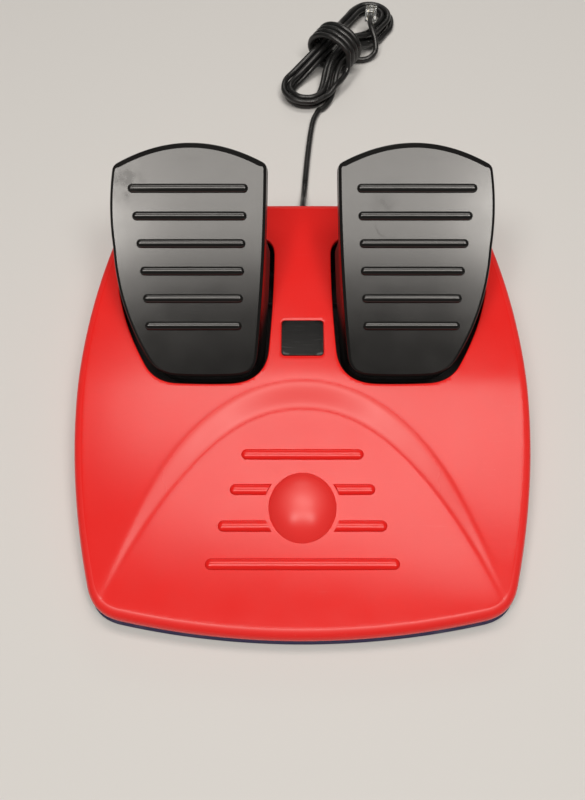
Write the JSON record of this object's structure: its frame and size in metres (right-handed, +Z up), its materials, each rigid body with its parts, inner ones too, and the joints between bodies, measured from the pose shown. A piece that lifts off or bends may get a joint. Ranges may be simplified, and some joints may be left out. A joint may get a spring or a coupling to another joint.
{
  "type": "two-pedal foot controller",
  "caption": "Floor-standing two-pedal foot controller: bowed red base with ribbed heel rest and dome, sprung black ribbed pedals, and a thin hanked cord with a clear modular plug.",
  "frame": {"origin": "middle of the base's footprint, on the floor under the feet", "axes": "+X to the right of a seated user, +Y from the heel rest to the toes and the cord, +Z up"},
  "size_m": [0.2722, 0.5628, 0.1097],
  "materials": {
    "red_plastic": "satin",
    "navy_plastic": "satin",
    "black_plastic": "satin",
    "black_rubber": "matte",
    "cord_vinyl": "satin",
    "bright_steel": "bright",
    "white_nylon": "satin",
    "clear_plastic": "clear"
  },
  "bodies": {
    "base": {"top_cover": "red_plastic", "bottom_tray": "navy_plastic", "badge_plate": "black_plastic", "left_well": "black_plastic", "right_well": "black_plastic", "front_left_foot": "black_rubber", "front_right_foot": "black_rubber", "rear_left_foot": "black_rubber", "rear_right_foot": "black_rubber", "strain_relief": "black_rubber", "splice_sleeve": "black_rubber", "left_bump_stop": "black_rubber", "right_bump_stop": "black_rubber", "cord_run": "cord_vinyl", "cord_hank": "cord_vinyl", "cord_tail": "cord_vinyl", "left_pot_lead": "cord_vinyl", "right_pot_lead": "cord_vinyl", "case_screw_1": "bright_steel", "case_screw_2": "bright_steel", "case_screw_3": "bright_steel", "case_screw_4": "bright_steel", "case_screw_5": "bright_steel", "case_screw_6": "bright_steel", "well_screw_1": "bright_steel", "well_screw_2": "bright_steel", "well_screw_3": "bright_steel", "well_screw_4": "bright_steel", "left_axle": "bright_steel", "left_return_spring": "bright_steel", "left_potentiometer": "bright_steel", "left_pot_nut": "bright_steel", "left_pot_bracket": "bright_steel", "right_axle": "bright_steel", "right_return_spring": "bright_steel", "right_potentiometer": "bright_steel", "right_pot_nut": "bright_steel", "right_pot_bracket": "bright_steel", "cord_plug": "clear_plastic"},
    "left_pedal": {"left_pedal": "black_plastic"},
    "right_pedal": {"right_pedal": "black_plastic"},
    "left_pinion": {"left_pinion": "white_nylon", "left_pot_shaft": "bright_steel"},
    "right_pinion": {"right_pinion": "white_nylon", "right_pot_shaft": "bright_steel"}
  },
  "joints": [
    {"name": "left_pedal_hinge", "type": "hinge", "parent": "base", "child": "left_pedal", "pos_m": [-0.0586, 0.03098, 0.02912], "axis": [-1, 0, 0], "range_deg": [0, 18], "stiffness_Nm_per_rad": 3, "springref_deg": -14.32, "deforming": ["left_return_spring"]},
    {"name": "left_pinion_spin", "type": "hinge", "parent": "base", "child": "left_pinion", "pos_m": [-0.045, 0.06098, 0.02912], "axis": [-1, 0, 0], "range_deg": [-72, 0]},
    {"name": "right_pedal_hinge", "type": "hinge", "parent": "base", "child": "right_pedal", "pos_m": [0.0586, 0.03098, 0.02912], "axis": [-1, 0, 0], "range_deg": [0, 18], "stiffness_Nm_per_rad": 3, "springref_deg": -14.32, "deforming": ["right_return_spring"]},
    {"name": "right_pinion_spin", "type": "hinge", "parent": "base", "child": "right_pinion", "pos_m": [0.045, 0.06098, 0.02912], "axis": [-1, 0, 0], "range_deg": [-72, 0]}
  ],
  "couplings": [
    {"joint": "left_pinion_spin", "follows": "left_pedal_hinge", "ratio": -4},
    {"joint": "right_pinion_spin", "follows": "right_pedal_hinge", "ratio": -4}
  ]
}
